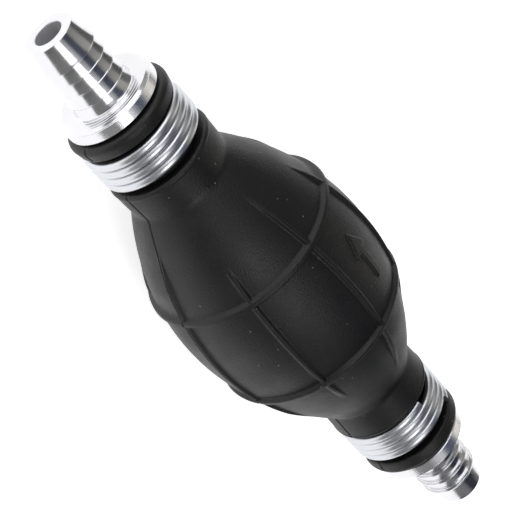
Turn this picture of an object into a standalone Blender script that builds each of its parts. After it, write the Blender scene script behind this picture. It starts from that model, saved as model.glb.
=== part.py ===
"""Siphon bulb pump: a hand-squeezed rubber bulb with a check valve in the hose fitting at each end.

The pump's axis lies along X and fuel flows towards -X, from the inlet barb to the outlet barb.
The origin is the bulb's centre, +Z is the side that the thumb presses, and the parting line of
the rubber moulding lies in the XY plane. Units are metres.
"""

import math

import bmesh
import bpy
from mathutils import Matrix, Vector

# ---- driving dimensions ----
HALF_LENGTH = 0.085        # bulb centre to either barb tip
GAP = 0.0003               # between pieces that touch
ROUND_STEPS = 24           # facets round a turned piece

# hose fitting, measured from its tip along the axis
BORE_RADIUS = 0.0034
TIP_RADIUS = 0.0060
BARB_RADIUS = 0.00735
BARB_ROOT_RADIUS = 0.00665
BARB_EDGES = (0.0063, 0.0097, 0.0130, 0.0164)   # each barb's sharp edge
BARB_STEM_RADIUS = 0.0078  # where the last stretch widens to meet the flange
FLANGE_START = 0.0190
FLANGE_END = 0.0225
FLANGE_RADIUS = 0.0119
FLANGE_CHAMFER = 0.0007    # on the edge that faces the hose
EDGE_BREAK = 0.0004        # chamfer on the other turned edges
SPIGOT_RADIUS = 0.0083
SPIGOT_END = 0.0470
SHOULDER = 0.0260          # step between the bore and the valve chamber
CHAMBER_RADIUS = 0.0062
CLIP_START = 0.0457        # snap ring groove
CLIP_GROOVE_WIDTH = 0.0011
CLIP_GROOVE_RADIUS = 0.0069

# rubber neck and its wire clamp
LIP_RADIUS = 0.0131
LIP_END = 0.0268
CLAMP_SEAT_RADIUS = 0.0106
BEAD_START = 0.0389
BEAD_END = 0.0402
NECK_RADIUS = 0.0129
WIRE_RADIUS = 0.0011
CLAMP_OUTER_RADIUS = 0.0132
CLAMP_START = 0.02845      # centre of the wire at the lip end
CLAMP_TURNS = 3.9
CLAMP_PITCH = 0.00228
WIRE_STEPS_PER_TURN = 18
WIRE_SIDES = 8

# bulb
BULB_RADIUS = 0.0253
CREASE_RADIUS = 0.0133
CREASE_X = 0.0380          # where the bulb meets the necks
WALL = 0.0030
RING_X = 0.0150            # the two raised bands round the bulb
RING_HEIGHT = 0.0011
RING_CREST = 0.0008        # half widths of a band at its crest and its foot
RING_FOOT = 0.0017
RIB_COUNT = 8
RIB_HEIGHT = 0.0008
RIB_CREST = math.radians(2.0)
RIB_FOOT = math.radians(3.7)
RIB_FADE_START = 0.0260
RIB_FADE_END = 0.0350

# check valve, measured from the upstream face of its seat
SEAT_LENGTH = 0.0040
SEAT_BORE_RADIUS = 0.0030
SEAT_RING_GROOVE = (0.0012, 0.0028)
SEAT_RING_GROOVE_RADIUS = 0.0049
SEAT_RING_WIRE = 0.0004
SEAL_THICKNESS = 0.0009
SEAL_RADIUS = 0.0047
SEAL_BORE_RADIUS = 0.0036
POPPET_START = 0.0026
POPPET_NOSE_RADIUS = 0.0014
POPPET_CONE_RADIUS = 0.0026
POPPET_RADIUS = 0.0050
POPPET_THICKNESS = 0.0014
POPPET_STEM_RADIUS = 0.0011
POPPET_STEM_END = 0.0184
SPRING_RADIUS = 0.0027
SPRING_WIRE = 0.00035
SPRING_TURNS = 5.0
SPRING_STEPS_PER_TURN = 12
SPRING_SIDES = 6
CAGE_START = 0.0171
CAGE_THICKNESS = 0.0020
CAGE_RIM_RADIUS = 0.0048
CAGE_HUB_RADIUS = 0.0024
CAGE_SPOKES = 3
CAGE_SPOKE_WIDTH = 0.0014
CLIP_WIDTH = 0.0006
CLIP_RADIUS = 0.0066
CLIP_BORE_RADIUS = 0.0053
CLIP_OPENING = math.radians(40)


def clear_scene():
    for thing in list(bpy.data.objects):
        bpy.data.objects.remove(thing, do_unlink=True)


def make_material(name, colour, roughness, metallic):
    material = bpy.data.materials.new(name)
    material.use_nodes = True
    shader = material.node_tree.nodes["Principled BSDF"]
    shader.inputs["Base Color"].default_value = (*colour, 1.0)
    shader.inputs["Roughness"].default_value = roughness
    shader.inputs["Metallic"].default_value = metallic
    return material


def finish_object(name, mesh_data, finish, parent=None):
    """Turns a bmesh into a named object with its own material."""
    bmesh.ops.remove_doubles(mesh_data, verts=mesh_data.verts, dist=1e-7)
    bmesh.ops.recalc_face_normals(mesh_data, faces=mesh_data.faces)
    mesh = bpy.data.meshes.new(name)
    mesh_data.to_mesh(mesh)
    mesh_data.free()
    mesh.shade_smooth()
    mesh.set_sharp_from_angle(angle=math.radians(30))
    mesh.materials.append(make_material(name, *finish))
    thing = bpy.data.objects.new(name, mesh)
    bpy.context.collection.objects.link(thing)
    if parent:
        thing.parent = parent
    return thing


def turn(outline, steps=ROUND_STEPS):
    """Spins an outline of (x, radius) points round the X axis; an open one starts and ends on it."""
    shape = bmesh.new()
    points = [shape.verts.new((x, 0.0, radius)) for x, radius in outline]
    edges = [shape.edges.new(pair) for pair in zip(points, points[1:])]
    if outline[0][1] > 0.0:
        edges.append(shape.edges.new((points[-1], points[0])))
    bmesh.ops.spin(shape, geom=points + edges, cent=(0, 0, 0), axis=(1, 0, 0),
                   angle=math.tau, steps=steps, use_merge=True)
    bmesh.ops.remove_doubles(shape, verts=shape.verts, dist=1e-7)
    return shape


def wire_tube(centres, radius, sides):
    """A closed round tube along a list of centre points, with flat ends."""
    shape = bmesh.new()
    rings = []
    for index, centre in enumerate(centres):
        before = centres[max(index - 1, 0)]
        after = centres[min(index + 1, len(centres) - 1)]
        along = (after - before).normalized()
        outward = Vector((0.0, centre.y, centre.z)).normalized()
        across = along.cross(outward).normalized()
        outward = across.cross(along)
        rings.append([
            shape.verts.new(centre + radius * (math.cos(turned) * outward
                                               + math.sin(turned) * across))
            for turned in (math.tau * side / sides for side in range(sides))
        ])
    for first, second in zip(rings, rings[1:]):
        for side in range(sides):
            following = (side + 1) % sides
            shape.faces.new((first[side], first[following], second[following], second[side]))
    shape.faces.new(rings[0])
    shape.faces.new(rings[-1])
    return shape


def helix(start, length, radius, turns, steps_per_turn, phase=0.0):
    """Points of a helix round the X axis."""
    count = round(turns * steps_per_turn)
    points = []
    for index in range(count + 1):
        share = index / count
        angle = phase + math.tau * turns * share
        points.append(Vector((start + length * share, radius * math.cos(angle),
                              radius * math.sin(angle))))
    return points


# ---- hose fitting ----
def fitting_outline():
    """The fitting's section, with x from its barb tip towards the bulb."""
    outline = [(0.0, BORE_RADIUS), (0.0, TIP_RADIUS - EDGE_BREAK), (EDGE_BREAK, TIP_RADIUS)]
    for edge in BARB_EDGES:
        outline += [(edge, BARB_RADIUS), (edge + GAP, BARB_ROOT_RADIUS)]
    outline += [
        (FLANGE_START, BARB_STEM_RADIUS),
        (FLANGE_START, FLANGE_RADIUS - FLANGE_CHAMFER),
        (FLANGE_START + FLANGE_CHAMFER, FLANGE_RADIUS),
        (FLANGE_END - EDGE_BREAK, FLANGE_RADIUS),
        (FLANGE_END, FLANGE_RADIUS - EDGE_BREAK),
        (FLANGE_END, SPIGOT_RADIUS),
        (SPIGOT_END - EDGE_BREAK, SPIGOT_RADIUS),
        (SPIGOT_END, SPIGOT_RADIUS - EDGE_BREAK),
        (SPIGOT_END, CHAMBER_RADIUS),
        (CLIP_START + CLIP_GROOVE_WIDTH, CHAMBER_RADIUS),
        (CLIP_START + CLIP_GROOVE_WIDTH, CLIP_GROOVE_RADIUS),
        (CLIP_START, CLIP_GROOVE_RADIUS),
        (CLIP_START, CHAMBER_RADIUS),
        (SHOULDER, CHAMBER_RADIUS),
        (SHOULDER, BORE_RADIUS),
    ]
    return outline


def neck_outline():
    """The rubber neck's section, with x from the barb tip towards the bulb."""
    start, end = FLANGE_END + GAP, HALF_LENGTH - CREASE_X - GAP / 2
    inner = SPIGOT_RADIUS + GAP
    rounding = 0.0009
    return [
        (start, inner),
        (start, LIP_RADIUS - rounding),
        (start + rounding, LIP_RADIUS),
        (LIP_END - rounding, LIP_RADIUS),
        (LIP_END, LIP_RADIUS - rounding),
        (LIP_END + rounding / 2, CLAMP_SEAT_RADIUS),
        (BEAD_START - rounding / 2, CLAMP_SEAT_RADIUS),
        (BEAD_START, LIP_RADIUS - rounding),
        (BEAD_START + rounding, LIP_RADIUS),
        (BEAD_END, LIP_RADIUS),
        (end, NECK_RADIUS),
        (end, inner),
    ]


def clip_shape(start):
    """An open snap ring of square wire."""
    shape = bmesh.new()
    half = CLIP_OPENING / 2
    section = [(start, CLIP_BORE_RADIUS), (start, CLIP_RADIUS),
               (start + CLIP_WIDTH, CLIP_RADIUS), (start + CLIP_WIDTH, CLIP_BORE_RADIUS)]
    steps = 20
    rings = []
    for index in range(steps + 1):
        angle = half + (math.tau - 2 * half) * index / steps
        rings.append([shape.verts.new((x, radius * math.cos(angle), radius * math.sin(angle)))
                      for x, radius in section])
    for first, second in zip(rings, rings[1:]):
        for corner in range(4):
            following = (corner + 1) % 4
            shape.faces.new((first[corner], first[following],
                             second[following], second[corner]))
    shape.faces.new(rings[0])
    shape.faces.new(rings[-1])
    return shape


def cage_shape(start):
    """The spring's perch: a rim and a hub that guides the stem, joined by spokes."""
    end = start + CAGE_THICKNESS
    rim_outer = CHAMBER_RADIUS - GAP
    hub_bore = POPPET_STEM_RADIUS + GAP
    steps = 24
    per_spoke = steps // CAGE_SPOKES
    shape = bmesh.new()

    def circle(x, radius):
        angles = (math.tau * (index + 0.5) / steps for index in range(steps))
        return [shape.verts.new((x, radius * math.cos(a), radius * math.sin(a)))
                for a in angles]

    rings = {
        (side, name): circle(x, radius)
        for side, x in (("up", start), ("down", end))
        for name, radius in (("bore", hub_bore), ("hub", CAGE_HUB_RADIUS),
                             ("rim", CAGE_RIM_RADIUS), ("outer", rim_outer))
    }
    for index in range(steps):
        following = (index + 1) % steps
        spoke = index % per_spoke == 0

        def face(first, second):
            shape.faces.new((rings[first][index], rings[first][following],
                             rings[second][following], rings[second][index]))

        for side in ("up", "down"):
            face((side, "bore"), (side, "hub"))
            face((side, "rim"), (side, "outer"))
            if spoke:
                face((side, "hub"), (side, "rim"))
        face(("up", "bore"), ("down", "bore"))
        face(("up", "outer"), ("down", "outer"))
        if not spoke:
            face(("up", "hub"), ("down", "hub"))
            face(("up", "rim"), ("down", "rim"))
        for edge, neighbour in ((index, index - 1), (following, index + 1)):
            if spoke and neighbour % per_spoke != 0:
                shape.faces.new((rings["up", "hub"][edge], rings["up", "rim"][edge],
                                 rings["down", "rim"][edge], rings["down", "hub"][edge]))
    return shape


# ---- check valve; x runs downstream from the upstream face of the seat ----
def seat_outline():
    outer = CHAMBER_RADIUS - GAP
    groove_start, groove_end = SEAT_RING_GROOVE
    return [
        (0.0, SEAT_BORE_RADIUS), (0.0, outer),
        (groove_start, outer), (groove_start, SEAT_RING_GROOVE_RADIUS),
        (groove_end, SEAT_RING_GROOVE_RADIUS), (groove_end, outer),
        (SEAT_LENGTH, outer), (SEAT_LENGTH, SEAT_BORE_RADIUS),
    ]


def ring_outline(middle, radius, wire, sides=8):
    """A round rubber ring's section."""
    return [
        (middle + wire * math.cos(math.tau * side / sides),
         radius + wire * math.sin(math.tau * side / sides))
        for side in range(sides)
    ]


def poppet_outline():
    disc = SEAT_LENGTH + SEAL_THICKNESS + 2 * GAP
    neck = SEAL_BORE_RADIUS - GAP
    return [
        (POPPET_START, 0.0), (POPPET_START, POPPET_NOSE_RADIUS),
        (SEAT_LENGTH, POPPET_CONE_RADIUS), (SEAT_LENGTH + GAP, neck),
        (disc, neck), (disc, POPPET_RADIUS),
        (disc + POPPET_THICKNESS, POPPET_RADIUS),
        (disc + POPPET_THICKNESS, POPPET_STEM_RADIUS),
        (POPPET_STEM_END, POPPET_STEM_RADIUS), (POPPET_STEM_END, 0.0),
    ]


def seal_outline():
    start = SEAT_LENGTH + GAP
    end = start + SEAL_THICKNESS
    return [(start, SEAL_BORE_RADIUS), (start, SEAL_RADIUS),
            (end, SEAL_RADIUS), (end, SEAL_BORE_RADIUS)]


def spring_shape():
    disc_end = SEAT_LENGTH + SEAL_THICKNESS + 2 * GAP + POPPET_THICKNESS
    start = disc_end + GAP + SPRING_WIRE
    end = CAGE_START - GAP - SPRING_WIRE
    centres = helix(start, end - start, SPRING_RADIUS, SPRING_TURNS, SPRING_STEPS_PER_TURN)
    return wire_tube(centres, SPRING_WIRE, SPRING_SIDES)


ALUMINIUM = ((0.80, 0.80, 0.81), 0.22, 1.0)
CLAMP_WIRE = ((0.72, 0.74, 0.78), 0.18, 1.0)
STEEL = ((0.55, 0.55, 0.56), 0.30, 1.0)
RUBBER = ((0.020, 0.020, 0.022), 0.45, 0.0)
SEAL_RUBBER = ((0.030, 0.030, 0.030), 0.55, 0.0)
ACETAL = ((0.75, 0.74, 0.70), 0.40, 0.0)
BRASS = ((0.72, 0.52, 0.22), 0.28, 1.0)


def make_fitting_end(end_name, place):
    """The fitting, its neck, wire clamp and snap ring; place maps a tip-based shape to the pump."""
    clamp_length = CLAMP_TURNS * CLAMP_PITCH
    clamp_radius = CLAMP_OUTER_RADIUS - WIRE_RADIUS
    clamp = helix(CLAMP_START, clamp_length, clamp_radius, CLAMP_TURNS, WIRE_STEPS_PER_TURN)
    shapes = (
        ("hose_fitting", turn(fitting_outline()), ALUMINIUM),
        ("neck", turn(neck_outline()), RUBBER),
        ("wire_clamp", wire_tube(clamp, WIRE_RADIUS, WIRE_SIDES), CLAMP_WIRE),
        ("snap_ring", clip_shape(CLIP_START + (CLIP_GROOVE_WIDTH - CLIP_WIDTH) / 2), STEEL),
    )
    for name, shape, finish in shapes:
        thing = finish_object(f"{end_name}_{name}", shape, finish)
        thing.matrix_world = place


def make_valve(end_name, seat_face):
    """A check valve that opens towards -X, with its seat's upstream face at x = seat_face."""
    axis = bpy.data.objects.new(f"{end_name}_valve_axis", None)
    bpy.context.collection.objects.link(axis)
    axis.location = (seat_face, 0.0, 0.0)
    axis.rotation_euler = (0.0, 0.0, math.pi)
    ring_middle = sum(SEAT_RING_GROOVE) / 2
    ring_radius = SEAT_RING_GROOVE_RADIUS + GAP / 2 + SEAT_RING_WIRE
    shapes = (
        ("valve_seat", turn(seat_outline()), BRASS),
        ("seat_o_ring", turn(ring_outline(ring_middle, ring_radius, SEAT_RING_WIRE)),
         SEAL_RUBBER),
        ("poppet", turn(poppet_outline()), ACETAL),
        ("poppet_seal", turn(seal_outline()), SEAL_RUBBER),
        ("valve_spring", spring_shape(), STEEL),
        ("spring_cage", cage_shape(CAGE_START), ACETAL),
    )
    for name, shape, finish in shapes:
        finish_object(f"{end_name}_{name}", shape, finish, parent=axis)


# ---- bulb ----
def smooth_step(value):
    value = min(max(value, 0.0), 1.0)
    return value * value * (3.0 - 2.0 * value)


def ramp(distance, crest, foot):
    """1 on the crest of a raised band, falling to 0 at its foot."""
    return smooth_step((foot - distance) / (foot - crest))


def bulb_radius(x):
    """The bulb's plain outer radius: a parabola from crease to crease."""
    return CREASE_RADIUS + (BULB_RADIUS - CREASE_RADIUS) * (1.0 - (x / CREASE_X) ** 2)


def outer_radius(x, angle):
    """The bulb's radius with its two bands and its lengthwise ribs."""
    spacing = math.tau / RIB_COUNT
    off_rib = abs((angle + spacing / 2) % spacing - spacing / 2)
    fade = 1.0 - smooth_step((abs(x) - RIB_FADE_START) / (RIB_FADE_END - RIB_FADE_START))
    rib = RIB_HEIGHT * ramp(off_rib, RIB_CREST, RIB_FOOT) * fade
    band = RING_HEIGHT * ramp(abs(abs(x) - RING_X), RING_CREST, RING_FOOT)
    return bulb_radius(x) + max(rib, band)


def wall_stations():
    """Places along half the bulb where the outer surface turns, from the middle to the crease."""
    end = CREASE_X - GAP / 2
    band = [RING_X + offset for offset in (-RING_FOOT, -RING_CREST, RING_CREST, RING_FOOT)]
    half = [0.0060, 0.0110, *band, 0.0215, RIB_FADE_START, 0.0305, RIB_FADE_END, end]
    return [-x for x in reversed(half)] + [0.0] + half


def wall_angles():
    """Angles from one parting line to the other, with points on each rib's crest and foot."""
    spacing = math.tau / RIB_COUNT
    within = [0.0, RIB_CREST, RIB_FOOT, spacing / 3, spacing * 2 / 3,
              spacing - RIB_FOOT, spacing - RIB_CREST]
    angles = [spacing * rib + offset for rib in range(RIB_COUNT // 2) for offset in within]
    return angles + [math.pi]


def make_bulb_wall(name, side):
    """Half of the bulb's wall, on the side = +1 (thumb) or -1 (fingers) of the parting plane."""
    shape = bmesh.new()

    def point(x, radius, angle):
        height = max(radius * math.sin(angle), GAP / 2)
        return shape.verts.new((x, -radius * math.cos(angle), side * height))

    def grid(stations, angles, radius_at):
        rows = [[point(x, radius_at(x, a), a) for a in angles] for x in stations]
        for first, second in zip(rows, rows[1:]):
            for index in range(len(angles) - 1):
                shape.faces.new((first[index], first[index + 1],
                                 second[index + 1], second[index]))
        return rows

    outer = grid(wall_stations(), wall_angles(), outer_radius)
    end = CREASE_X - GAP / 2
    inner_stations = [end * share for share in (-1, -0.86, -0.66, -0.4, 0, 0.4, 0.66, 0.86, 1)]
    inner_angles = [math.pi * index / 16 for index in range(17)]
    inner = grid(inner_stations, inner_angles, lambda x, a: bulb_radius(x) - WALL)
    for edge in (0, -1):
        shape.faces.new(outer[edge] + inner[edge][::-1])
        shape.faces.new([row[edge] for row in outer] + [row[edge] for row in inner][::-1])
    bmesh.ops.triangulate(shape, faces=[f for f in shape.faces if len(f.verts) > 4])
    return finish_object(name, shape, RUBBER)


def main():
    clear_scene()
    outlet = Matrix.Translation((-HALF_LENGTH, 0.0, 0.0))
    inlet = Matrix.Translation((HALF_LENGTH, 0.0, 0.0)) @ Matrix.Rotation(math.pi, 4, "Z")
    make_fitting_end("outlet", outlet)
    make_fitting_end("inlet", inlet)
    # the inlet's seat lies on the shoulder, and the outlet's behind the snap ring
    make_valve("inlet", HALF_LENGTH - SHOULDER - GAP)
    make_valve("outlet", -HALF_LENGTH + CLIP_START - GAP)
    make_bulb_wall("bulb_thumb_wall", 1)
    make_bulb_wall("bulb_finger_wall", -1)


main()
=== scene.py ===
"""Siphon bulb pump: the finished look of a hand primer bulb with hose fittings and check valves.

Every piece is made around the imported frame, in metres. The pump's axis is X, fuel flows towards -X,
and +Z is the side of the bulb that the thumb presses.
"""

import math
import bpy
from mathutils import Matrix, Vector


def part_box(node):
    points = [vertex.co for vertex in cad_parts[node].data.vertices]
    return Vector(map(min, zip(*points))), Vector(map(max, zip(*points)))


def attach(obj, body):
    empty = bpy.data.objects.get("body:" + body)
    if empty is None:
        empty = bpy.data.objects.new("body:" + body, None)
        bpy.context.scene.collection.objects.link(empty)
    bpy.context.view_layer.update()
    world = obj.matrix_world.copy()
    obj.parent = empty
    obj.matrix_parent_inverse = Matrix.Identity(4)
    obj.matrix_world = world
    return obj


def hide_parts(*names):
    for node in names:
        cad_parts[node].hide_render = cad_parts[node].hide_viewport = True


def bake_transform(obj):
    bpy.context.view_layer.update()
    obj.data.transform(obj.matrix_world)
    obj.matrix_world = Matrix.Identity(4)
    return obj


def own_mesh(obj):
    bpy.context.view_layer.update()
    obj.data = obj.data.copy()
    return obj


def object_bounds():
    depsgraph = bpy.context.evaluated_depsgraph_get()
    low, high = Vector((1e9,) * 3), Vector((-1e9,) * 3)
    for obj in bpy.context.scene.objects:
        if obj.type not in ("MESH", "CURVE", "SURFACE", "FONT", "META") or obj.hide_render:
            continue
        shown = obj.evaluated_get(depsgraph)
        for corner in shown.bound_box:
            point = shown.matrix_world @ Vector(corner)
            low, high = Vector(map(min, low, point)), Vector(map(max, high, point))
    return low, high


bl_info = {
    "name": "Siphon Bulb Pump",
    "version": (1, 0, 0),
    "blender": (4, 5, 0),
    "location": "3D Viewport > Sidebar > Siphon Pump",
    "description": "Builds a ribbed rubber siphon bulb with turned hose fittings and check valves",
    "category": "Add Mesh",
}

import bmesh
import bpy
from bpy.props import FloatProperty, FloatVectorProperty, IntProperty, PointerProperty
from mathutils import Matrix, Vector

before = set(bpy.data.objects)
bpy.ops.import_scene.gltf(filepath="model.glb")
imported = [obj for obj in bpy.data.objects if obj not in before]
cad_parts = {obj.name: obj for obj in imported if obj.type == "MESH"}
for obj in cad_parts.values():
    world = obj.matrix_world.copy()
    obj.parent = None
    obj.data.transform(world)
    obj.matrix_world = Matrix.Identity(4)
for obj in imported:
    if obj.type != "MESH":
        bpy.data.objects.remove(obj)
CAD_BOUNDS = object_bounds()

MM = 0.001
ENDS = ("outlet", "inlet")
ROOT = "pump_body"

# ---- places read from the frame; those of an end's parts are measured from its barb's tip ----
TIP_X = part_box("inlet_hose_fitting")[1].x
FLANGE_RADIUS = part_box("outlet_hose_fitting")[1].y
SPIGOT_END = TIP_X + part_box("outlet_hose_fitting")[1].x
WALL_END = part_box("bulb_thumb_wall")[1].x
NECK_START = TIP_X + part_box("outlet_neck")[0].x
LIP_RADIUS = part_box("outlet_neck")[1].y
CLAMP_START = TIP_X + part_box("outlet_wire_clamp")[0].x
CLAMP_END = TIP_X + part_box("outlet_wire_clamp")[1].x
CLAMP_RADIUS = max(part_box("outlet_wire_clamp")[1].y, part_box("outlet_wire_clamp")[1].z)


# ---- colours ----
def linear(hex_code):
    """An sRGB hex colour as linear red, green, blue."""
    parts = (int(hex_code[index:index + 2], 16) / 255 for index in (1, 3, 5))
    return tuple(c / 12.92 if c <= 0.04045 else ((c + 0.055) / 1.055) ** 2.4 for c in parts)


def colour(name, description, hex_code):
    """A colour setting."""
    return FloatVectorProperty(name=name, description=description, subtype="COLOR", size=3,
                               min=0.0, max=1.0, default=linear(hex_code))


def length(name, description, default):
    """A length setting, in metres."""
    return FloatProperty(name=name, description=description, default=default,
                         subtype="DISTANCE", unit="LENGTH", precision=5)


# ---- settings ----
class PUMP_PG_bulb(bpy.types.PropertyGroup):
    """Sizes of the rubber bulb and its necks"""
    radius: length("Bulb Radius", "Plain radius at the bulb's middle", 25.3 * MM)
    crease_radius: length("Crease Radius", "Radius where the bulb meets a neck", 13.3 * MM)
    wall: length("Wall", "Thickness of the rubber", 3.0 * MM)
    band_place: length("Band Place", "Distance of each raised band from the middle", 15.0 * MM)
    band_height: length("Band Height", "How far the bands stand out", 1.1 * MM)
    band_width: length("Band Width", "Width of a band at its foot", 2.4 * MM)
    rib_count: IntProperty(name="Ribs", description="Lengthwise ribs", default=8, min=2)
    rib_height: length("Rib Height", "How far the ribs stand out", 0.8 * MM)
    rib_width: length("Rib Width", "Width of a rib at its foot", 1.8 * MM)
    long_rib_end: length("Long Rib End", "Where every other rib has faded out", 33.0 * MM)
    short_rib_end: length("Short Rib End", "Where the ribs between those have", 25.5 * MM)
    rib_fade: length("Rib Fade", "Length over which a rib fades", 9.0 * MM)
    arrow_height: length("Arrow Height", "How far the flow arrow stands out", 0.5 * MM)
    arrow_edge: length("Arrow Edge", "Width of the slope round the arrow", 0.4 * MM)
    neck_radius: length("Neck Radius", "Radius of a neck beside its clamp", 13.2 * MM)
    clamp_seat: length("Clamp Seat", "Radius of the neck under the wire", 10.6 * MM)
    seam_width: length("Seam Width", "Width of the parting line", 0.8 * MM)
    seam_depth: length("Seam Depth", "Depth of the parting line", 0.22 * MM)


class PUMP_PG_fitting(bpy.types.PropertyGroup):
    """Sizes of the turned hose fittings"""
    bore_radius: length("Bore Radius", "Radius of the way through", 3.4 * MM)
    tip_radius: length("Tip Radius", "Radius of the barb's mouth", 6.0 * MM)
    barb_radius: length("Barb Radius", "Radius at a barb's edge", 7.35 * MM)
    root_radius: length("Root Radius", "Radius at a barb's root", 6.65 * MM)
    stem_radius: length("Stem Radius", "Radius where the barbs meet the flange", 7.8 * MM)
    flange_start: length("Flange Face", "Distance of the flange from the tip", 19.0 * MM)
    flange_end: length("Flange Back", "Distance of the flange's back from the tip", 22.5 * MM)
    spigot_radius: length("Spigot Radius", "Radius of the part inside the neck", 8.3 * MM)
    chamber_radius: length("Chamber Radius", "Radius of the valve chamber", 6.2 * MM)
    shoulder: length("Shoulder", "Distance of the chamber's floor from the tip", 26.0 * MM)


class PUMP_PG_clamp(bpy.types.PropertyGroup):
    """Sizes of the wire clamps"""
    wire_radius: length("Wire Radius", "Radius of the clamp's wire", 1.1 * MM)
    turns: FloatProperty(name="Turns", description="Turns of wire", default=3.9)


class PUMP_PG_finish(bpy.types.PropertyGroup):
    """Colours of the pump's materials"""
    rubber: colour("Bulb Rubber", "Black nitrile rubber", "#0b0b0c")
    dust: colour("Dust", "Specks of dust on the rubber", "#8d8d8d")
    aluminium: colour("Aluminium", "Turned aluminium", "#dfdfe1")
    wire: colour("Clamp Wire", "Bright drawn wire", "#d2d4d8")
    steel: colour("Spring Steel", "Stainless spring wire", "#b9b8b6")
    brass: colour("Brass", "Turned brass", "#d9b76c")
    acetal: colour("Acetal", "Natural acetal", "#dedbd2")
    seal: colour("Seal Rubber", "Black seal rubber", "#202020")


class PUMP_PG_stage(bpy.types.PropertyGroup):
    """Camera, lights and floor"""
    floor: colour("Floor", "Pale floor", "#f4f4f4")
    floor_glow: FloatProperty(name="Floor Glow", description="Light that the floor gives itself",
                              default=0.82, min=0.0)
    distance: length("Camera Distance", "From the camera to the point it looks at", 0.50424)
    azimuth: FloatProperty(name="Azimuth", description="Camera's turn round the pump",
                           subtype="ANGLE", default=math.radians(-56.33))
    elevation: FloatProperty(name="Elevation", description="Camera's height angle",
                             subtype="ANGLE", default=math.radians(46.69))
    roll: FloatProperty(name="Roll", description="Camera's turn about its own line of sight",
                        subtype="ANGLE", default=math.radians(95.07))
    aim: FloatVectorProperty(name="Aim", description="Point that the camera looks at",
                             subtype="TRANSLATION", size=3, precision=5,
                             default=(-5.37 * MM, 2.30 * MM, -3.01 * MM))
    lens: FloatProperty(name="Lens", description="Focal length in millimetres",
                        default=154.6, min=1.0)


class PUMP_PG_settings(bpy.types.PropertyGroup):
    """All of the pump's settings"""
    bulb: PointerProperty(type=PUMP_PG_bulb)
    fitting: PointerProperty(type=PUMP_PG_fitting)
    clamp: PointerProperty(type=PUMP_PG_clamp)
    finish: PointerProperty(type=PUMP_PG_finish)
    stage: PointerProperty(type=PUMP_PG_stage)


# ---- nodes ----
MAP_RANGE = "ShaderNodeMapRange"
NOISE = "ShaderNodeTexNoise"
SPLIT = "ShaderNodeSeparateXYZ"
JOIN = "ShaderNodeCombineXYZ"


def add_node(tree, kind, *values, out=0, **settings):
    """Adds a node with its settings and links, and gives one of its outputs, or all if out is None.

    Values fill the sockets in order, or by name from a dict. A kind that is all capitals is a
    Math node's operation.
    """
    if kind.isupper():
        kind, settings = "ShaderNodeMath", {"operation": kind}
    node = tree.nodes.new(kind)
    for name, value in settings.items():
        setattr(node, name, value)
    given = values[0] if values and isinstance(values[0], dict) else dict(enumerate(values))
    for socket, value in given.items():
        if isinstance(value, bpy.types.NodeSocket):
            tree.links.new(value, node.inputs[socket])
        else:
            node.inputs[socket].default_value = value
    return node.outputs if out is None else node.outputs[out]


# ---- materials ----
def start_material(name, base, metallic, roughness, **constants):
    """A material with its Principled shader's constant values set."""
    material = bpy.data.materials.new(name)
    material.use_nodes = True
    tree = material.node_tree
    shader = tree.nodes["Principled BSDF"]
    shader.inputs["Base Color"].default_value = (*base, 1.0)
    shader.inputs["Metallic"].default_value = metallic
    shader.inputs["Roughness"].default_value = roughness
    for socket, value in constants.items():
        shader.inputs[socket.replace("_", " ")].default_value = value
    return material, tree, shader


def round_position(tree):
    """Object place, and the place along the axis, distance from it and angle round it."""
    place = add_node(tree, "ShaderNodeTexCoord", out="Object")
    parts = add_node(tree, SPLIT, place, out=None)
    squares = [add_node(tree, "MULTIPLY", parts[axis], parts[axis]) for axis in ("Y", "Z")]
    radius = add_node(tree, "SQRT", add_node(tree, "ADD", *squares))
    angle = add_node(tree, "ARCTAN2", parts["Z"], parts["Y"])
    return place, parts["X"], radius, angle


def nitrile_rubber(finish):
    # compression-moulded nitrile rubber: black and satin, with the fine grit of a blasted mould,
    # a skin that is a little uneven in gloss, and pale specks of dust that static holds on it
    material, tree, shader = start_material(
        "moulded_nitrile_rubber", finish.rubber, 0.0, 0.5, IOR=1.45)
    # the mould's grit is finer than this; it is drawn as coarse as it needs to be to show
    grit_size, grit_depth = 0.34 * MM, 0.06 * MM
    patch_size = 9.0 * MM
    speck_spacing, speck_share = 2.4 * MM, 0.3
    place = add_node(tree, "ShaderNodeTexCoord", out="Object")
    pebbles = add_node(tree, "ShaderNodeTexVoronoi",
                       {"Vector": place, "Scale": 1.0 / grit_size, "Smoothness": 0.7},
                       feature="SMOOTH_F1")
    grit = add_node(tree, "SUBTRACT", 1.0, pebbles)
    cloud = add_node(tree, NOISE, {"Vector": place, "Scale": 1.0 / patch_size, "Detail": 3.0})
    uneven = add_node(tree, "ADD", add_node(tree, MAP_RANGE, cloud, 0.35, 0.65, 0.42, 0.52),
                      add_node(tree, MAP_RANGE, grit, 0.3, 0.8, -0.03, 0.04))
    tree.links.new(uneven, shader.inputs["Roughness"])
    specks = add_node(tree, "ShaderNodeTexVoronoi",
                      {"Vector": place, "Scale": 1.0 / speck_spacing}, out=None)
    chance = add_node(tree, "ShaderNodeSeparateColor", {"Color": specks["Color"]})
    dust = add_node(tree, "MULTIPLY", add_node(tree, "LESS_THAN", chance, speck_share),
                    add_node(tree, MAP_RANGE, specks["Distance"], 0.05, 0.09, 0.6, 0.0))
    # a Mix node's colour sockets come after its number and vector ones
    tint = add_node(tree, "ShaderNodeMix", {0: dust, 6: (*finish.rubber, 1.0),
                                            7: (*finish.dust, 1.0)}, out=2, data_type="RGBA")
    tree.links.new(tint, shader.inputs["Base Color"])
    normal = add_node(tree, "ShaderNodeBump",
                      {"Height": grit, "Distance": grit_depth, "Strength": 1.0})
    tree.links.new(normal, shader.inputs["Normal"])
    return material


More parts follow.
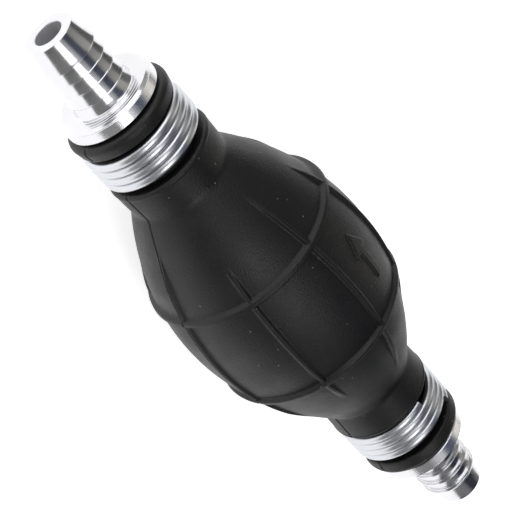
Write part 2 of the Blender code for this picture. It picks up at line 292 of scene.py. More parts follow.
def turned_metal(name, base, roughness, mark_width, mark_depth, fitting=False):
    """Bright metal with fine marks that run round the axis; a fitting has a bore and a rim too."""
    material, tree, shader = start_material(name, base, 1.0, roughness)
    patch_size = 2.5 * MM
    place, along, radius, angle = round_position(tree)
    ring_place = add_node(tree, JOIN, along, radius)
    rings = add_node(tree, NOISE, {"Vector": ring_place, "Scale": 1.0 / mark_width})
    cloud = add_node(tree, NOISE, {"Vector": place, "Scale": 1.0 / patch_size, "Detail": 3.0})
    gloss = add_node(
        tree, "ADD",
        add_node(tree, MAP_RANGE, rings, 0.3, 0.7, roughness - 0.02, roughness + 0.03),
        add_node(tree, MAP_RANGE, cloud, 0.3, 0.7, -0.01, 0.03))
    normal = add_node(tree, "ShaderNodeBump",
                      {"Height": rings, "Distance": mark_depth, "Strength": 0.5})
    if fitting:
        # a drilled bore is duller than what a lathe tool leaves
        bore_edge, bore_dullness = 3.5 * MM, 0.4
        bored = add_node(tree, MAP_RANGE, radius, bore_edge, bore_edge + 0.3 * MM,
                         bore_dullness, 0.0)
        gloss = add_node(tree, "ADD", gloss, bored)
        # the flange's rim was left as drawn bar: short scratches along the axis
        scratch_width, stretch = 0.28 * MM, 0.04
        scratch_place = add_node(tree, JOIN, add_node(tree, "MULTIPLY", along, stretch),
                                 add_node(tree, "MULTIPLY", angle, FLANGE_RADIUS))
        scratches = add_node(tree, NOISE, {"Vector": scratch_place, "Detail": 3.0,
                                           "Scale": 1.0 / scratch_width})
        on_rim = add_node(tree, MAP_RANGE, radius, FLANGE_RADIUS - 0.25 * MM,
                          FLANGE_RADIUS - 0.1 * MM, 0.0, 1.0)
        normal = add_node(tree, "ShaderNodeBump",
                          {"Height": add_node(tree, "MULTIPLY", scratches, on_rim),
                           "Distance": 0.05 * MM, "Strength": 0.6, "Normal": normal})
    tree.links.new(gloss, shader.inputs["Roughness"])
    tree.links.new(normal, shader.inputs["Normal"])
    return material


def turned_aluminium(finish):
    # 6000-series aluminium bar, turned with a sharp tool: near mirror, with faint rings
    return turned_metal("machined_aluminium", finish.aluminium, 0.16, 0.2 * MM, 0.002 * MM, True)


def drawn_wire(finish):
    # aluminium wire drawn through a die: bright but soft in what it mirrors, with faint lines
    # along its length
    return turned_metal("drawn_bright_wire", finish.wire, 0.3, 0.25 * MM, 0.006 * MM)


def spring_wire(finish):
    # drawn stainless spring wire: greyer than the clamps' wire, and a little glossier
    return turned_metal("drawn_spring_steel", finish.steel, 0.27, 0.12 * MM, 0.01 * MM)


def turned_brass(finish):
    # free-cutting brass, turned: warm yellow metal with visible tool rings
    return turned_metal("turned_brass", finish.brass, 0.22, 0.14 * MM, 0.015 * MM)


def grained(material, tree, shader, grain_size, low, high, depth, strength):
    """Gives a material a fine even grain: its roughness goes from low to high, and it is bumped."""
    place = add_node(tree, "ShaderNodeTexCoord", out="Object")
    grain = add_node(tree, NOISE, {"Vector": place, "Scale": 1.0 / grain_size, "Detail": 3.0})
    tree.links.new(add_node(tree, MAP_RANGE, grain, 0.3, 0.7, low, high),
                   shader.inputs["Roughness"])
    normal = add_node(tree, "ShaderNodeBump",
                      {"Height": grain, "Distance": depth, "Strength": strength})
    tree.links.new(normal, shader.inputs["Normal"])
    return material


def moulded_acetal(finish):
    # injection-moulded acetal: waxy off-white that lets a little light in
    made = start_material("moulded_acetal", finish.acetal, 0.0, 0.38, IOR=1.48,
                          Subsurface_Weight=0.2, Subsurface_Scale=0.6 * MM)
    return grained(*made, 1.2 * MM, 0.33, 0.45, 0.03 * MM, 0.3)


def seal_rubber(finish):
    # ground nitrile seal stock: dull black with a fine even tooth
    made = start_material("seal_nitrile", finish.seal, 0.0, 0.6, IOR=1.52)
    return grained(*made, 0.2 * MM, 0.52, 0.68, 0.02 * MM, 0.4)


def lit_floor(stage):
    # matt white acrylic of a shooting table, lit a little from below
    material, tree, shader = start_material(
        "backlit_white_acrylic", stage.floor, 0.0, 0.85, Emission_Strength=stage.floor_glow)
    shader.inputs["Emission Color"].default_value = (*stage.floor, 1.0)
    return grained(material, tree, shader, 1.5 * MM, 0.8, 0.9, 0.03 * MM, 0.15)


def material_named(name, maker, settings):
    """The named material, made the first time that it is asked for."""
    return bpy.data.materials.get(name) or maker(settings)


# ---- meshes ----
def end_matrix(end):
    """Puts a shape that is drawn from its own tip, with X towards the bulb, at one end."""
    if end == "outlet":
        return Matrix.Translation((-TIP_X, 0.0, 0.0))
    return Matrix.Translation((TIP_X, 0.0, 0.0)) @ Matrix.Rotation(math.pi, 4, "Z")


def add_piece(name, mesh, material, nodes, body=None, sharp=30.0):
    """A finished piece: its mesh is in place, so its object stays at the origin."""
    mesh.materials.clear()
    mesh.materials.append(material)
    mesh.shade_smooth()
    mesh.set_sharp_from_angle(angle=math.radians(sharp))
    piece = bpy.data.objects.new(name, mesh)
    bpy.context.scene.collection.objects.link(piece)
    if body:
        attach(piece, body)
    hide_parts(*nodes)
    return piece


def turned_mesh(name, outline, place, steps):
    """Spins a closed outline of (x, radius) round the X axis."""
    shape = bmesh.new()
    points = [shape.verts.new((x, 0.0, radius)) for x, radius in outline]
    edges = [shape.edges.new(pair) for pair in zip(points, points[1:])]
    edges.append(shape.edges.new((points[-1], points[0])))
    bmesh.ops.spin(shape, geom=points + edges, cent=(0, 0, 0), axis=(1, 0, 0),
                   angle=math.tau, steps=steps, use_merge=True)
    bmesh.ops.remove_doubles(shape, verts=shape.verts, dist=1e-7)
    bmesh.ops.recalc_face_normals(shape, faces=shape.faces)
    bmesh.ops.transform(shape, matrix=place, verts=shape.verts)
    mesh = bpy.data.meshes.new(name)
    shape.to_mesh(mesh)
    shape.free()
    return mesh


def arc(centre, radius, start, end, steps):
    """Points (x, r) of an arc between two angles in degrees."""
    angles = (math.radians(start + (end - start) * step / steps) for step in range(steps + 1))
    return [(centre[0] + radius * math.cos(a), centre[1] + radius * math.sin(a))
            for a in angles]


def braced(outline, reach=0.04 * MM):
    """Adds points close to both ends of each long step, so that shading stays flat along it."""
    result = []
    for first, second in zip(outline, outline[1:] + outline[:1]):
        first, second = Vector(first), Vector(second)
        step = second - first
        result.append(tuple(first))
        if step.length > 6 * reach:
            result += [tuple(first + step.normalized() * reach),
                       tuple(second - step.normalized() * reach)]
    return result


# ---- geometry nodes ----
def new_tree(name, inputs):
    """A geometry tree with its group inputs; returns the tree and its input node's sockets."""
    tree = bpy.data.node_groups.new(name, "GeometryNodeTree")
    tree.interface.new_socket("Geometry", in_out="OUTPUT", socket_type="NodeSocketGeometry")
    for label, kind in inputs:
        tree.interface.new_socket(label, in_out="INPUT", socket_type=f"NodeSocket{kind}")
    return tree, add_node(tree, "NodeGroupInput", out=None)


def end_tree(tree, geometry, material):
    """Finishes a tree with Realize Instances and Set Material."""
    real = add_node(tree, "GeometryNodeRealizeInstances", geometry)
    painted = add_node(tree, "GeometryNodeSetMaterial", {0: real, 2: material})
    add_node(tree, "NodeGroupOutput", painted, out=None)
    return tree


def run_tree(tree, mesh, values):
    """The plain mesh that a tree makes from a starting mesh."""
    source = bpy.data.objects.new(tree.name, mesh)
    bpy.context.scene.collection.objects.link(source)
    modifier = source.modifiers.new(tree.name, "NODES")
    modifier.node_group = tree
    sockets = {item.name: item.identifier for item in tree.interface.items_tree
               if item.in_out == "INPUT"}
    for label, value in values.items():
        modifier[sockets[label]] = value
    depsgraph = bpy.context.evaluated_depsgraph_get()
    result = bpy.data.meshes.new_from_object(source.evaluated_get(depsgraph))
    bpy.data.objects.remove(source)
    return result


def coil_tree():
    """A coil of round wire round the X axis, from x = Start."""
    tree, given = new_tree("Wire Coil", [
        ("Geometry", "Geometry"), ("Start", "Float"), ("Length", "Float"), ("Radius", "Float"),
        ("Turns", "Float"), ("Wire Radius", "Float"), ("Steps", "Int"), ("Sides", "Int"),
        ("Phase", "Float"), ("Material", "Material")])
    # reversed and laid along X, the spiral is a right-handed coil
    line = add_node(tree, "GeometryNodeCurveSpiral",
                    {"Resolution": given["Steps"], "Rotations": given["Turns"],
                     "Start Radius": given["Radius"], "End Radius": given["Radius"],
                     "Height": given["Length"], "Reverse": True})
    turned = add_node(tree, "GeometryNodeTransform",
                      {"Geometry": line, "Rotation": add_node(tree, JOIN,
                                                              {"Z": given["Phase"]})})
    laid = add_node(tree, "GeometryNodeTransform",
                    {"Geometry": turned, "Rotation": (0.0, math.pi / 2, 0.0),
                     "Translation": add_node(tree, JOIN, {"X": given["Start"]})})
    profile = add_node(tree, "GeometryNodeCurvePrimitiveCircle",
                       {"Resolution": given["Sides"], "Radius": given["Wire Radius"]})
    tube = add_node(tree, "GeometryNodeCurveToMesh",
                    {"Curve": laid, "Profile Curve": profile, "Fill Caps": True})
    return end_tree(tree, tube, given["Material"])


def ribbed_wall_tree():
    """Rolls a sheet of (x, angle, radius) round the axis and raises bands, ribs and an arrow."""
    tree, given = new_tree("Ribbed Wall", [
        ("Geometry", "Geometry"), ("Bulb Radius", "Float"), ("Ribs", "Int"),
        ("Rib Height", "Float"), ("Rib Width", "Float"), ("Long Rib End", "Float"),
        ("Short Rib End", "Float"), ("Rib Fade", "Float"), ("Band Place", "Float"),
        ("Band Height", "Float"), ("Band Width", "Float"), ("Arrow", "Object"),
        ("Arrow Height", "Float"), ("Arrow Edge", "Float"), ("Seam Width", "Float"),
        ("Seam Depth", "Float"), ("Material", "Material")])

    def fall(value, low, high):
        """1 before low, easing to 0 at high."""
        eased = add_node(tree, MAP_RANGE, value, low, high, interpolation_type="SMOOTHSTEP")
        return add_node(tree, "SUBTRACT", 1.0, eased)

    def ridge(distance, width, height):
        """A rounded ridge of a given width at its foot."""
        foot = add_node(tree, "MULTIPLY", width, 0.5)
        crest = add_node(tree, "MULTIPLY", width, 0.15)
        return add_node(tree, "MULTIPLY", fall(distance, crest, foot), height)

    place = add_node(tree, SPLIT, add_node(tree, "GeometryNodeInputPosition"), out=None)
    along = add_node(tree, "ABSOLUTE", place["X"])
    # ribs, every other one longer
    half_spacing = add_node(tree, "DIVIDE", math.pi, given["Ribs"])
    off_rib = add_node(tree, "MULTIPLY",
                       add_node(tree, "PINGPONG", place["Y"], half_spacing), place["Z"])
    off_long = add_node(tree, "PINGPONG", place["Y"],
                        add_node(tree, "MULTIPLY", half_spacing, 2.0))
    is_short = add_node(tree, "GREATER_THAN", off_long, half_spacing)
    shorter = add_node(tree, "SUBTRACT", given["Short Rib End"], given["Long Rib End"])
    rib_end = add_node(tree, "ADD", given["Long Rib End"],
                       add_node(tree, "MULTIPLY", is_short, shorter))
    fade = fall(along, add_node(tree, "SUBTRACT", rib_end, given["Rib Fade"]), rib_end)
    ribs = ridge(off_rib, given["Rib Width"],
                 add_node(tree, "MULTIPLY", given["Rib Height"], fade))
    # bands
    off_band = add_node(tree, "ABSOLUTE",
                        add_node(tree, "SUBTRACT", along, given["Band Place"]))
    bands = ridge(off_band, given["Band Width"], given["Band Height"])
    # flow arrow, from how far a point lies outside the arrow's flat outline
    flat = add_node(tree, JOIN, place["X"],
                    add_node(tree, "MULTIPLY", place["Y"], given["Bulb Radius"]))
    outline = add_node(tree, "GeometryNodeObjectInfo", {"Object": given["Arrow"]},
                       out="Geometry")
    outside = add_node(tree, "GeometryNodeProximity",
                       {"Geometry": outline, "Sample Position": flat}, out="Distance",
                       target_element="FACES")
    arrow = add_node(tree, "MULTIPLY", given["Arrow Height"],
                     fall(outside, 0.0, given["Arrow Edge"]))
    # parting line
    off_seam = add_node(tree, "MULTIPLY",
                        add_node(tree, "PINGPONG", place["Y"], math.pi / 2), place["Z"])
    seam = ridge(off_seam, given["Seam Width"], given["Seam Depth"])
    raised = add_node(tree, "MAXIMUM", add_node(tree, "MAXIMUM", ribs, bands), arrow)
    raised = add_node(tree, "SUBTRACT", raised, seam)
    skin = add_node(tree, "GeometryNodeInputNamedAttribute", {"Name": "skin"},
                    data_type="FLOAT")
    radius = add_node(tree, "ADD", place["Z"], add_node(tree, "MULTIPLY", raised, skin))
    rolled = add_node(tree, JOIN, place["X"], add_node(
        tree, "MULTIPLY", add_node(tree, "MULTIPLY", radius, -1.0),
        add_node(tree, "COSINE", place["Y"])),
        add_node(tree, "MULTIPLY", radius, add_node(tree, "SINE", place["Y"])))
    wall = add_node(tree, "GeometryNodeSetPosition",
                    {"Geometry": given["Geometry"], "Position": rolled})
    return end_tree(tree, wall, given["Material"])


# ---- rubber ----
CREASE_BLEND = 0.45 * MM           # size of the fillet between bulb and neck
DOME_DIP = 0.3 * MM                # how far below the crease the dome would end without it
NECK_TAPER, TAPER_END = 0.035, 46.0 * MM  # a neck's slope, and the distance from the middle
                                          # beyond which it is straight
WIRE_ROOM = (0.2 * MM, 0.25 * MM)  # free width of the clamp's seat, beside the bead and the lip
BORE_ROOM = 0.3 * MM               # between the neck's bore and the fitting's spigot

# the rubber's mesh has rows along the pump and columns round it
ROW_STEP, NECK_ROW_STEP = 0.4 * MM, 0.7 * MM
BAND_ROW_STEP, BAND_ROWS = 0.2 * MM, 9       # rows from a band's middle to either side
ARROW_ROW_STEP, ARROW_ROWS = 0.25 * MM, 31   # rows from the bulb's middle past the arrow's end
INSIDE_EVERY = 5                             # the inside has one row for this many outside
COLUMN_STEP = math.radians(1.9)
RIB_COLUMNS = (0.0, 0.3, 0.6, 0.9, 1.25, 1.6, 2.0, 2.5, 3.1, 3.9)  # degrees from a rib's middle
ARROW_COLUMN_STEP, ARROW_COLUMNS = math.radians(0.5), 17  # columns on either side of its middle
CLOSEST = 0.12                               # least gap, as a share of the plain step

# the flow arrow's place round the bulb, its places along the pump, and its half widths
ARROW_ANGLE = math.radians(110.2)
ARROW_TIP, ARROW_NOTCH, ARROW_TAIL = -7.1 * MM, -2.1 * MM, 6.5 * MM
ARROW_WING, ARROW_STEM = 2.7 * MM, 0.9 * MM


def soft_maximum(first, second, blend):
    """The larger of two numbers, eased over a blend where they are close."""
    share = min(1.0, max(0.0, 0.5 + 0.5 * (first - second) / blend))
    return second + (first - second) * share + blend * share * (1.0 - share)


def skin_radius(bulb, x):
    """The plain radius of the bulb and neck, where the bulb runs into the neck in a fillet."""
    swell = bulb.radius - bulb.crease_radius
    dome = bulb.crease_radius - DOME_DIP + (swell + DOME_DIP) * (1 - (x / WALL_END) ** 2)
    neck = bulb.neck_radius - NECK_TAPER * max(0.0, TAPER_END - x)
    return soft_maximum(dome, neck, CREASE_BLEND)


def neck_end(bulb):
    """The outside of one neck beyond its plain part, (x, radius): shoulder, clamp seat, lip."""
    seat_start = TIP_X - CLAMP_END - WIRE_ROOM[0]
    lip_back = TIP_X - CLAMP_START + WIRE_ROOM[1]
    lip_front = TIP_X - NECK_START
    # radii of the bead's edge and of the lip's two edges
    edge, back_edge, front_edge = 0.95 * MM, 0.6 * MM, 1.5 * MM
    shoulder = skin_radius(bulb, seat_start - edge)
    points = arc((seat_start - edge, shoulder - edge + 0.1 * MM), edge, 90, 0, 8)
    points += [(seat_start, bulb.clamp_seat), (lip_back, bulb.clamp_seat)]
    points += arc((lip_back + back_edge, LIP_RADIUS - back_edge - 0.3 * MM), back_edge,
                  180, 110, 5)
    points += arc((lip_front - front_edge - 0.4 * MM, LIP_RADIUS - front_edge), front_edge,
                  95, 0, 10)
    points += [(lip_front, bulb.clamp_seat)]
    return points


def evenly(points, spacing):
    """Adds points so that no step of an outline is longer than spacing."""
    result = [points[0]]
    for first, second in zip(points, points[1:]):
        gap = Vector(second) - Vector(first)
        steps = max(1, math.ceil(gap.length / spacing))
        result += [tuple(Vector(first) + gap * (step + 1) / steps) for step in range(steps)]
    return result


def stations(low, high, coarse, places, offsets):
    """Places from low to high, a coarse step apart, with finer ones beside the given places."""
    fine = [place + side * offset for place in places for offset in offsets for side in (-1, 1)]
    spans = [(place - offsets[-1], place + offsets[-1]) for place in places]
    count = math.ceil((high - low) / coarse)
    even = [low + (high - low) * step / count for step in range(count + 1)]
    even = [value for value in even
            if value in (low, high) or not any(a < value < b for a, b in spans)]
    kept = sorted(even + [value for value in fine if low < value < high])
    result = [low]
    for value in kept[1:]:
        if value - result[-1] > coarse * CLOSEST:
            result.append(value)
    result[-1] = high
    return result


def rubber_section(bulb, bore_radius):
    """The closed (x, radius) section of bulb and necks, and a flag for its raised outside."""
    end = neck_end(bulb)
    plain_end = end[0][0] - 0.1 * MM
    offsets = [step * BAND_ROW_STEP for step in range(BAND_ROWS)]
    half = stations(0.0, plain_end, ROW_STEP, [bulb.band_place], offsets)
    arrow_rows = [step * ARROW_ROW_STEP for step in range(ARROW_ROWS)]
    half = arrow_rows + [x for x in half if x > arrow_rows[-1] + 0.1 * MM]
    neck = evenly(end, NECK_ROW_STEP)
    side = [(x, skin_radius(bulb, x)) for x in half] + neck
    outer = [(-x, r) for x, r in side[:0:-1]] + side
    tip = neck[-1][0]
    hollow = [x for x in half[::INSIDE_EVERY]
              if skin_radius(bulb, x) - bulb.wall > bore_radius and x < WALL_END]
    inner = [(x, skin_radius(bulb, x) - bulb.wall) for x in hollow]
    inner = [(WALL_END, bore_radius)] + inner[::-1] + [(-x, r) for x, r in inner[1:]]
    section = outer + [(tip, bore_radius)] + inner + [(-WALL_END, bore_radius),
                                                      (-tip, bore_radius)]
    flags = [1.0] * len(outer) + [0.0] * (len(section) - len(outer))
    return section, flags


def arrow_object(bulb):
    """The flow arrow's outline as flat faces: x along the pump and y round it."""
    outline = [(ARROW_TIP, 0.0), (ARROW_NOTCH, ARROW_WING), (ARROW_NOTCH, ARROW_STEM),
               (ARROW_TAIL, ARROW_STEM), (ARROW_TAIL, -ARROW_STEM),
               (ARROW_NOTCH, -ARROW_STEM), (ARROW_NOTCH, -ARROW_WING)]
    centre = ARROW_ANGLE * bulb.radius
    mesh = bpy.data.meshes.new("flow_arrow_outline")
    mesh.from_pydata([(x, centre + y, 0.0) for x, y in outline], [],
                     [(0, 1, 2, 5, 6), (2, 3, 4, 5)])
    guide = bpy.data.objects.new("flow_arrow_outline", mesh)
    bpy.context.scene.collection.objects.link(guide)
    return guide


def wall_angles(bulb, side):
    """Angles round one half of the bulb, close together at the ribs, seams and arrow."""
    low, high = math.pi * side, math.pi * (side + 1)
    ribs = [math.tau * rib / bulb.rib_count for rib in range(bulb.rib_count + 1)]
    offsets = [math.radians(offset) for offset in RIB_COLUMNS]
    angles = stations(low, high, COLUMN_STEP, [rib for rib in ribs if low <= rib <= high],
                      offsets)
    if low < ARROW_ANGLE < high:
        strokes = [ARROW_ANGLE + step * ARROW_COLUMN_STEP
                   for step in range(-ARROW_COLUMNS, ARROW_COLUMNS + 1)]
        reach = ARROW_ANGLE - strokes[0] + math.radians(0.3)
        angles = sorted([a for a in angles if abs(a - ARROW_ANGLE) > reach] + strokes)
    return angles


class PUMP_OT_rubber(bpy.types.Operator):
    """Make the ribbed rubber bulb and its necks, as two halves that meet at the parting line"""
    bl_idname = "siphon_pump.rubber"
    bl_label = "Rubber Bulb and Necks"

    def execute(self, context):
        settings = context.scene.siphon_pump
        bulb, finish = settings.bulb, settings.finish
        section, flags = rubber_section(bulb, settings.fitting.spigot_radius + BORE_ROOM)
        tree = ribbed_wall_tree()
        guide = arrow_object(bulb)
        rubber = material_named("moulded_nitrile_rubber", nitrile_rubber, finish)
        count = len(section)
        for side, name in enumerate(("thumb", "finger")):
            angles = wall_angles(bulb, side)
            last = len(angles) - 1
            faces = [(row * count + point, row * count + (point + 1) % count,
                      (row + 1) * count + (point + 1) % count, (row + 1) * count + point)
                     for row in range(last) for point in range(count)]
            # the flat faces where this half meets the other
            faces.append(tuple(range(count))[::-1])
            faces.append(tuple(range(last * count, (last + 1) * count)))
            sheet = bpy.data.meshes.new("rubber_sheet")
            sheet.from_pydata([(x, angle, r) for angle in angles for x, r in section],
                              [], faces)
            skin = sheet.attributes.new("skin", "FLOAT", "POINT")
            skin.data.foreach_set("value", flags * len(angles))
            mesh = run_tree(tree, sheet, {
                "Bulb Radius": bulb.radius, "Ribs": bulb.rib_count,
                "Rib Height": bulb.rib_height, "Rib Width": bulb.rib_width,
                "Long Rib End": bulb.long_rib_end, "Short Rib End": bulb.short_rib_end,
                "Rib Fade": bulb.rib_fade,
                "Band Place": bulb.band_place, "Band Height": bulb.band_height,
                "Band Width": bulb.band_width, "Arrow": guide,
                "Arrow Height": bulb.arrow_height, "Arrow Edge": bulb.arrow_edge,
                "Seam Width": bulb.seam_width, "Seam Depth": bulb.seam_depth,
                "Material": rubber})
            shape = bmesh.new()
            shape.from_mesh(mesh)
            bmesh.ops.recalc_face_normals(shape, faces=shape.faces)
            shape.to_mesh(mesh)
            shape.free()
            piece = add_piece(f"bulb_{name}_half", mesh, rubber,
                              [f"bulb_{name}_wall", "outlet_neck", "inlet_neck"], sharp=50.0)
            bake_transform(piece)
        bpy.data.objects.remove(guide)
        return {"FINISHED"}


# ---- hose fittings ----
BARB_EDGES = (6.3 * MM, 9.7 * MM, 13.0 * MM, 16.4 * MM)
BARB_SHARES = (0.15, 0.3, 0.45, 0.6, 0.75, 0.88)  # points along a barb's slope
FACE_RINGS = (8.7 * MM, 9.6 * MM, 10.4 * MM)      # radii of the fine grooves in the flange
SNAP_GROOVE = (45.7 * MM, 46.8 * MM)              # from and to, measured from the tip
SNAP_GROOVE_RADIUS = 6.9 * MM
TURNING_STEPS = 160


def fitting_outline(fitting):
    """The fitting's section, (x, radius) from its tip towards the bulb."""
    # radii of the mouth's inner and outer edges and of a barb's edge, and the flat beside that
    inner, outer, edge, land = 0.3 * MM, 0.2 * MM, 0.1 * MM, 0.18 * MM
    outline = arc((inner, fitting.bore_radius + inner), inner, 270, 180, 4)
    outline += arc((outer, fitting.tip_radius - outer), outer, 180, 100, 4)
    start, low = outer, fitting.tip_radius
    for barb in BARB_EDGES:
        # each barb's slope steepens a little towards its edge
        for share in BARB_SHARES:
            rise = (fitting.barb_radius - low) * (0.7 * share + 0.3 * share ** 2)
            outline.append((start + (barb - start) * share, low + rise))
        outline.append((barb - edge - land, fitting.barb_radius - 0.01 * MM))
        outline += arc((barb - edge, fitting.barb_radius - edge), edge, 90, 0, 3)
        outline += [(barb + 0.02 * MM, fitting.root_radius + 0.12 * MM),
                    (barb + 0.1 * MM, fitting.root_radius)]
        start, low = barb + 0.1 * MM, fitting.root_radius
    # the stem flares out to the flange's face
    face = fitting.flange_start
    outline += [(face - 1.0 * MM, fitting.stem_radius - 0.55 * MM),
                (face - 0.35 * MM, fitting.stem_radius - 0.25 * MM),
                (face - 0.1 * MM, fitting.stem_radius - 0.08 * MM),
                (face, fitting.stem_radius + 0.1 * MM)]
    for groove in FACE_RINGS:
        outline += [(face, groove - 0.1 * MM), (face + 0.05 * MM, groove),
                    (face, groove + 0.1 * MM)]
    rim, chamfer = FLANGE_RADIUS, 0.7 * MM
    outline += [(face, rim - chamfer - 0.05 * MM), (face + 0.03 * MM, rim - chamfer),
                (face + chamfer - 0.12 * MM, rim - 0.1 * MM),
                (face + chamfer - 0.02 * MM, rim - 0.16 * MM),
                (face + chamfer + 0.08 * MM, rim),
                (fitting.flange_end - 0.25 * MM, rim),
                (fitting.flange_end, rim - 0.25 * MM),
                (fitting.flange_end, fitting.spigot_radius),
                (SPIGOT_END - 0.3 * MM, fitting.spigot_radius),
                (SPIGOT_END, fitting.spigot_radius - 0.3 * MM),
                (SPIGOT_END, fitting.chamber_radius),
                (SNAP_GROOVE[1], fitting.chamber_radius), (SNAP_GROOVE[1], SNAP_GROOVE_RADIUS),
                (SNAP_GROOVE[0], SNAP_GROOVE_RADIUS), (SNAP_GROOVE[0], fitting.chamber_radius),
                (fitting.shoulder, fitting.chamber_radius),
                (fitting.shoulder, fitting.bore_radius)]
    return outline


class PUMP_OT_hose_fittings(bpy.types.Operator):
    """Make the two turned hose fittings with their barbs and flanges"""
    bl_idname = "siphon_pump.hose_fittings"
    bl_label = "Hose Fittings"

    def execute(self, context):
        settings = context.scene.siphon_pump
        aluminium = material_named("machined_aluminium", turned_aluminium, settings.finish)
        outline = braced(fitting_outline(settings.fitting))
        for end in ENDS:
            node = f"{end}_hose_fitting"
            mesh = turned_mesh(node, outline, end_matrix(end), TURNING_STEPS)
            add_piece(f"{node}_turned", mesh, aluminium, [node], ROOT,
                      sharp=20.0)
        return {"FINISHED"}


# ---- wire ----
# how far each clamp is turned round the pump, which says where its wire's ends show
CLAMP_PHASE = {"outlet": math.radians(130), "inlet": math.radians(215)}


class PUMP_OT_wire_clamps(bpy.types.Operator):
    """Make the two close coils of bright wire that clamp the necks"""
    bl_idname = "siphon_pump.wire_clamps"
    bl_label = "Wire Clamps"

    def execute(self, context):
        settings = context.scene.siphon_pump
        clamp = settings.clamp
        bright = material_named("drawn_bright_wire", drawn_wire, settings.finish)
        tree = coil_tree()
        for end in ENDS:
            node = f"{end}_wire_clamp"
            mesh = run_tree(tree, bpy.data.meshes.new(node), {
                "Start": CLAMP_START + clamp.wire_radius,
                "Length": CLAMP_END - CLAMP_START - 2 * clamp.wire_radius,
                "Radius": CLAMP_RADIUS - clamp.wire_radius, "Turns": clamp.turns,
                "Wire Radius": clamp.wire_radius, "Steps": 90, "Sides": 24,
                "Phase": CLAMP_PHASE[end], "Material": bright})
            mesh.transform(end_matrix(end))
            add_piece(f"{node}_coil", mesh, bright, [node], ROOT)
        return {"FINISHED"}


# ---- valves ----
SPRING_TURNS = 5.0
SPRING_WIRE = 0.35 * MM  # its radius


def carry_over(nodes, material):
    """Gives CAD nodes a finished material."""
    for node in nodes:
        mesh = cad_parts[node].data
        mesh.materials.clear()
        mesh.materials.append(material)


class PUMP_OT_valves(bpy.types.Operator):
    """Finish the check valves inside the spigots"""
    bl_idname = "siphon_pump.valves"
    bl_label = "Check Valves"

    def execute(self, context):
        finish = context.scene.siphon_pump.finish
        parts = (
            ("valve_seat", "turned_brass", turned_brass),
            ("seat_o_ring", "seal_nitrile", seal_rubber),
            ("poppet_seal", "seal_nitrile", seal_rubber),
            ("poppet", "moulded_acetal", moulded_acetal),
            ("spring_cage", "moulded_acetal", moulded_acetal),
            ("snap_ring", "drawn_spring_steel", spring_wire),
        )
        for part, name, maker in parts:
            carry_over([f"{end}_{part}" for end in ENDS], material_named(name, maker, finish))
        tree = coil_tree()
        steel = material_named("drawn_spring_steel", spring_wire, finish)
        for end in ENDS:
            node = f"{end}_valve_spring"
            low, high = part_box(node)
            mesh = run_tree(tree, bpy.data.meshes.new(node), {
                "Start": low.x + SPRING_WIRE, "Length": high.x - low.x - 2 * SPRING_WIRE,
                "Radius": high.y - SPRING_WIRE, "Turns": SPRING_TURNS,
                "Wire Radius": SPRING_WIRE, "Steps": 30, "Sides": 12, "Phase": 0.0,
                "Material": steel})
            piece = add_piece(f"{node}_coil", mesh, steel, [node], ROOT)
            # the poppet pushes the spring against its cage, which is on the downstream side
            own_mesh(piece)
        return {"FINISHED"}


# ---- stage ----
FLOOR_REACH = 6.0  # from the pump to each edge of the floor
# name, direction from the pump, distance, (length along the pump, width), watts, tint
LIGHTS = (
    ("key_softbox", (0.08, -0.5, 0.86), 0.9, (0.85, 0.36), 2.4, "#ffffff"),
    ("outlet_panel", (-0.85, 0.1, 0.35), 1.3, (1.3, 1.0), 7.5, "#ffffff"),
    ("back_fill", (0.5, 0.75, 0.42), 1.0, (0.6, 0.5), 0.3, "#fff6ea"),
)


def aim_at(camera, target, roll):
    """Turns a camera to face a point, then rolls it about its line of sight."""
    direction = Vector(target) - camera.location
    camera.rotation_euler = (direction.to_track_quat("-Z", "Y").to_matrix().to_4x4()
                             @ Matrix.Rotation(roll, 4, "Z")).to_euler()


def add_light(name, direction, distance, size, power, tint):
    """A rectangular soft light that faces the pump."""
    data = bpy.data.lights.new(name, "AREA")
    data.shape = "RECTANGLE"
    data.size, data.size_y = size
    data.energy = power
    data.color = linear(tint)
    light = bpy.data.objects.new(name, data)
    bpy.context.scene.collection.objects.link(light)
    back = Vector(direction).normalized()
    light.location = back * distance
    side = Vector((1.0, 0.0, 0.0))
    side = (side - back * side.dot(back)).normalized()
    turned = Matrix((side, back.cross(side), back)).transposed().to_4x4()
    light.rotation_euler = turned.to_euler()


# the room's tones from the -Y side over the top to the +Y side
ROOM_TONES = ((0.12, (0.17, 0.17, 0.17)), (0.2, (0.12, 0.12, 0.125)),
              (0.33, (0.4, 0.4, 0.41)), (0.47, (0.33, 0.335, 0.35)),
              (0.52, (0.06, 0.068, 0.095)), (0.68, (0.055, 0.06, 0.085)),
              (0.74, (0.3, 0.295, 0.28)), (0.88, (0.34, 0.335, 0.32)),
              (0.94, (0.12, 0.12, 0.12)))


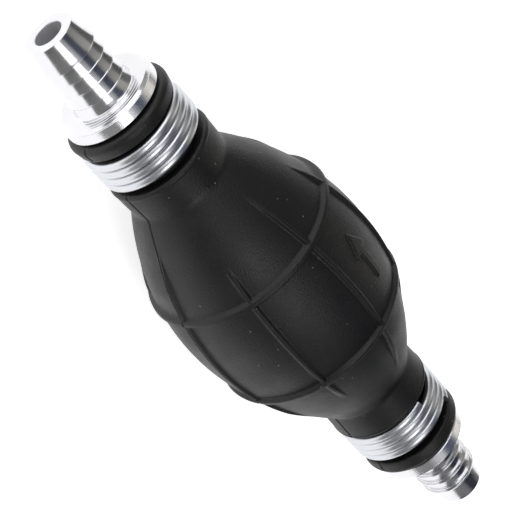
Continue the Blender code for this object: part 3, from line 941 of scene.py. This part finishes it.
def dim_room():
    """A dim room: grey walls beside the pump, a dark cool ceiling and one pale stretch of wall."""
    world = bpy.data.worlds.new("studio")
    world.use_nodes = True
    room = world.node_tree
    sight = add_node(room, "ShaderNodeTexCoord", out="Generated")
    patches = add_node(room, NOISE, {"Vector": sight, "Scale": 3.6})
    ways = add_node(room, SPLIT, sight, out=None)
    across = add_node(room, "ADD", ways["Y"],
                      add_node(room, MAP_RANGE, patches, 0.3, 0.7, -0.06, 0.06))
    walls = add_node(room, "ShaderNodeValToRGB",
                     add_node(room, MAP_RANGE, across, -1.0, 1.0, 0.0, 1.0))
    steps = walls.node.color_ramp.elements
    for place, tone in ROOM_TONES:
        step = steps.new(place)
        step.color = (*tone, 1.0)
    steps.remove(steps[0])
    steps.remove(steps[-1])
    # the room dims towards the inlet end, apart from one pale stretch of wall
    near = add_node(room, MAP_RANGE, ways["X"], 0.05, 0.32, 1.2, 0.5)
    wall_rise = add_node(room, MAP_RANGE, ways["X"], 0.42, 0.5, 0.0, 1.7)
    wall_fall = add_node(room, MAP_RANGE, ways["X"], 0.66, 0.74, 1.0, 0.0)
    far = add_node(room, "MULTIPLY", wall_rise, wall_fall)
    background = room.nodes["Background"]
    room.links.new(walls, background.inputs["Color"])
    room.links.new(add_node(room, "ADD", near, far), background.inputs["Strength"])
    return world


class PUMP_OT_stage(bpy.types.Operator):
    """Set the camera, the soft lights and the pale floor"""
    bl_idname = "siphon_pump.stage"
    bl_label = "Camera, Lights and Floor"

    def execute(self, context):
        stage = context.scene.siphon_pump.stage
        scene = context.scene
        camera = bpy.data.objects.new("camera", bpy.data.cameras.new("camera"))
        scene.collection.objects.link(camera)
        camera.data.lens = stage.lens
        camera.data.sensor_width = 36.0
        camera.data.clip_start, camera.data.clip_end = 0.01, 20.0
        sight = Vector((math.sin(stage.azimuth) * math.cos(stage.elevation),
                        -math.cos(stage.azimuth) * math.cos(stage.elevation),
                        math.sin(stage.elevation)))
        camera.location = Vector(stage.aim) + sight * stage.distance
        aim_at(camera, stage.aim, stage.roll)
        scene.camera = camera

        floor_mesh = bpy.data.meshes.new("floor")
        corners = ((-1, -1), (1, -1), (1, 1), (-1, 1))
        floor_mesh.from_pydata([(x * FLOOR_REACH, y * FLOOR_REACH, CAD_BOUNDS[0].z)
                                for x, y in corners], [], [(0, 1, 2, 3)])
        floor_mesh.materials.append(lit_floor(stage))
        floor = bpy.data.objects.new("floor", floor_mesh)
        scene.collection.objects.link(floor)

        scene.world = dim_room()
        for light in LIGHTS:
            add_light(*light)
        scene.view_settings.view_transform = "Standard"
        return {"FINISHED"}


# ---- panel ----
STEPS = ("rubber", "hose_fittings", "wire_clamps", "valves", "stage")


class PUMP_PT_panel(bpy.types.Panel):
    """Buttons and sizes of the siphon bulb pump"""
    bl_idname = "PUMP_PT_panel"
    bl_label = "Siphon Bulb Pump"
    bl_space_type = "VIEW_3D"
    bl_region_type = "UI"
    bl_category = "Siphon Pump"

    def draw(self, context):
        settings = context.scene.siphon_pump
        for step in STEPS:
            self.layout.operator(f"siphon_pump.{step}")
        for name in ("bulb", "fitting", "clamp", "finish", "stage"):
            box = self.layout.box()
            box.label(text=name.title())
            group = getattr(settings, name)
            for item in group.__annotations__:
                box.prop(group, item)


CLASSES = (PUMP_PG_bulb, PUMP_PG_fitting, PUMP_PG_clamp, PUMP_PG_finish, PUMP_PG_stage,
           PUMP_PG_settings, PUMP_OT_rubber, PUMP_OT_hose_fittings, PUMP_OT_wire_clamps,
           PUMP_OT_valves, PUMP_OT_stage, PUMP_PT_panel)


def register():
    for item in CLASSES:
        bpy.utils.register_class(item)
    bpy.types.Scene.siphon_pump = PointerProperty(type=PUMP_PG_settings)


def unregister():
    del bpy.types.Scene.siphon_pump
    for item in reversed(CLASSES):
        bpy.utils.unregister_class(item)


def main():
    """Registers the add-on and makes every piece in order."""
    register()
    for step in STEPS:
        getattr(bpy.ops.siphon_pump, step)()
    bpy.context.view_layer.update()


if __name__ == "__main__":
    main()
